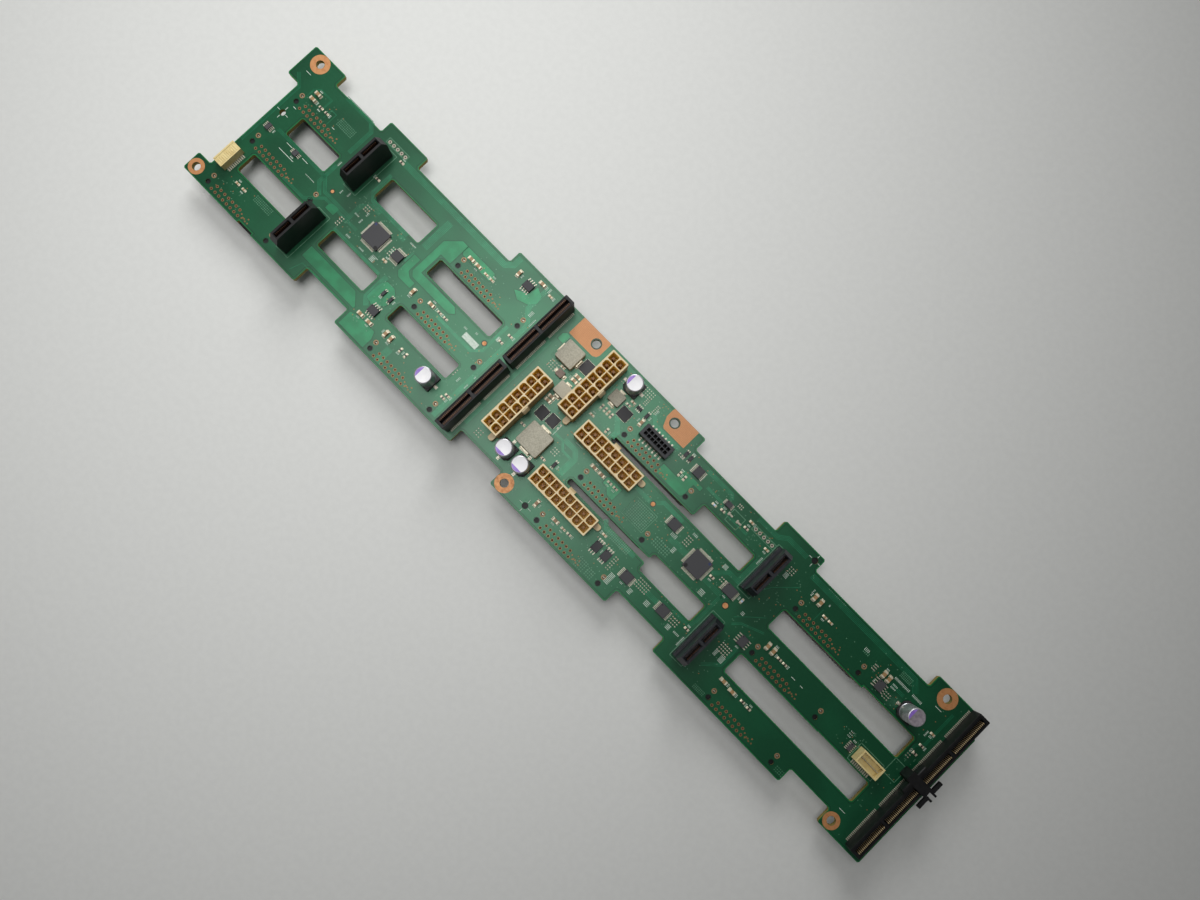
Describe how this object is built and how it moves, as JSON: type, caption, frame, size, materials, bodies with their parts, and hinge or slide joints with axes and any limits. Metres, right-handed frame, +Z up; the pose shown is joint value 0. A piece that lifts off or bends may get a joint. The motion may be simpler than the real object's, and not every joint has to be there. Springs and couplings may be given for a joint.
{
  "type": "drive backplane board",
  "caption": "Long green circuit board with air windows and hidden-side drive receptacles, power headers, card sockets, can capacitors and coils.",
  "frame": {"origin": "middle of the board's outline, on the plane of the drive receptacles' faces", "axes": "+X along the board, +Y across it, +Z up through the populated side"},
  "size_m": [0.4322, 0.0828, 0.0267],
  "materials": {
    "board_laminate": "green solder mask over glass laminate",
    "receptacle_plastic": "moulded black nylon",
    "socket_plastic": "moulded black plastic",
    "header_plastic": "moulded natural nylon",
    "gold_contact": "gold plated spring metal",
    "tinned_metal": "tin plated metal",
    "capacitor_can": "drawn aluminium can",
    "coil_moulding": "pressed iron powder, grey",
    "chip_epoxy": "moulded epoxy",
    "chip_ceramic": "fired ceramic"
  },
  "bodies": {
    "root": {"board_locks": "tinned_metal", "capacitor_bases": "socket_plastic", "capacitors": "capacitor_can", "card_socket_1": "socket_plastic", "card_socket_2": "socket_plastic", "card_socket_3": "socket_plastic", "card_socket_4": "socket_plastic", "card_socket_contacts": "gold_contact", "circuit_board": "board_laminate", "coil_straps": "tinned_metal", "controller_1": "chip_epoxy", "controller_2": "chip_epoxy", "controller_leads": "tinned_metal", "drive_receptacle_1": "receptacle_plastic", "drive_receptacle_10": "receptacle_plastic", "drive_receptacle_11": "receptacle_plastic", "drive_receptacle_12": "receptacle_plastic", "drive_receptacle_2": "receptacle_plastic", "drive_receptacle_3": "receptacle_plastic", "drive_receptacle_4": "receptacle_plastic", "drive_receptacle_5": "receptacle_plastic", "drive_receptacle_6": "receptacle_plastic", "drive_receptacle_7": "receptacle_plastic", "drive_receptacle_8": "receptacle_plastic", "drive_receptacle_9": "receptacle_plastic", "edge_socket_1": "socket_plastic", "edge_socket_2": "socket_plastic", "edge_socket_contacts": "gold_contact", "guide_block": "socket_plastic", "large_chip_capacitors": "chip_ceramic", "logic_chips": "chip_epoxy", "panel_header_pins": "tinned_metal", "power_coil_1": "coil_moulding", "power_coil_2": "coil_moulding", "power_coil_3": "coil_moulding", "power_coil_4": "coil_moulding", "power_coil_5": "coil_moulding", "power_header_1": "header_plastic", "power_header_2": "header_plastic", "power_header_3": "header_plastic", "power_header_4": "header_plastic", "power_header_pins_1": "tinned_metal", "power_header_pins_2": "tinned_metal", "power_header_pins_3": "tinned_metal", "power_header_pins_4": "tinned_metal", "power_stages": "chip_epoxy", "receptacle_contacts": "gold_contact", "riser_socket_1": "socket_plastic", "riser_socket_2": "socket_plastic", "riser_socket_contacts": "gold_contact", "sensor_chips": "chip_epoxy", "side_panel_header": "header_plastic", "signal_socket": "socket_plastic", "signal_socket_tails": "tinned_metal", "small_chip_resistors": "chip_ceramic", "top_panel_header": "header_plastic"}
  },
  "joints": []
}
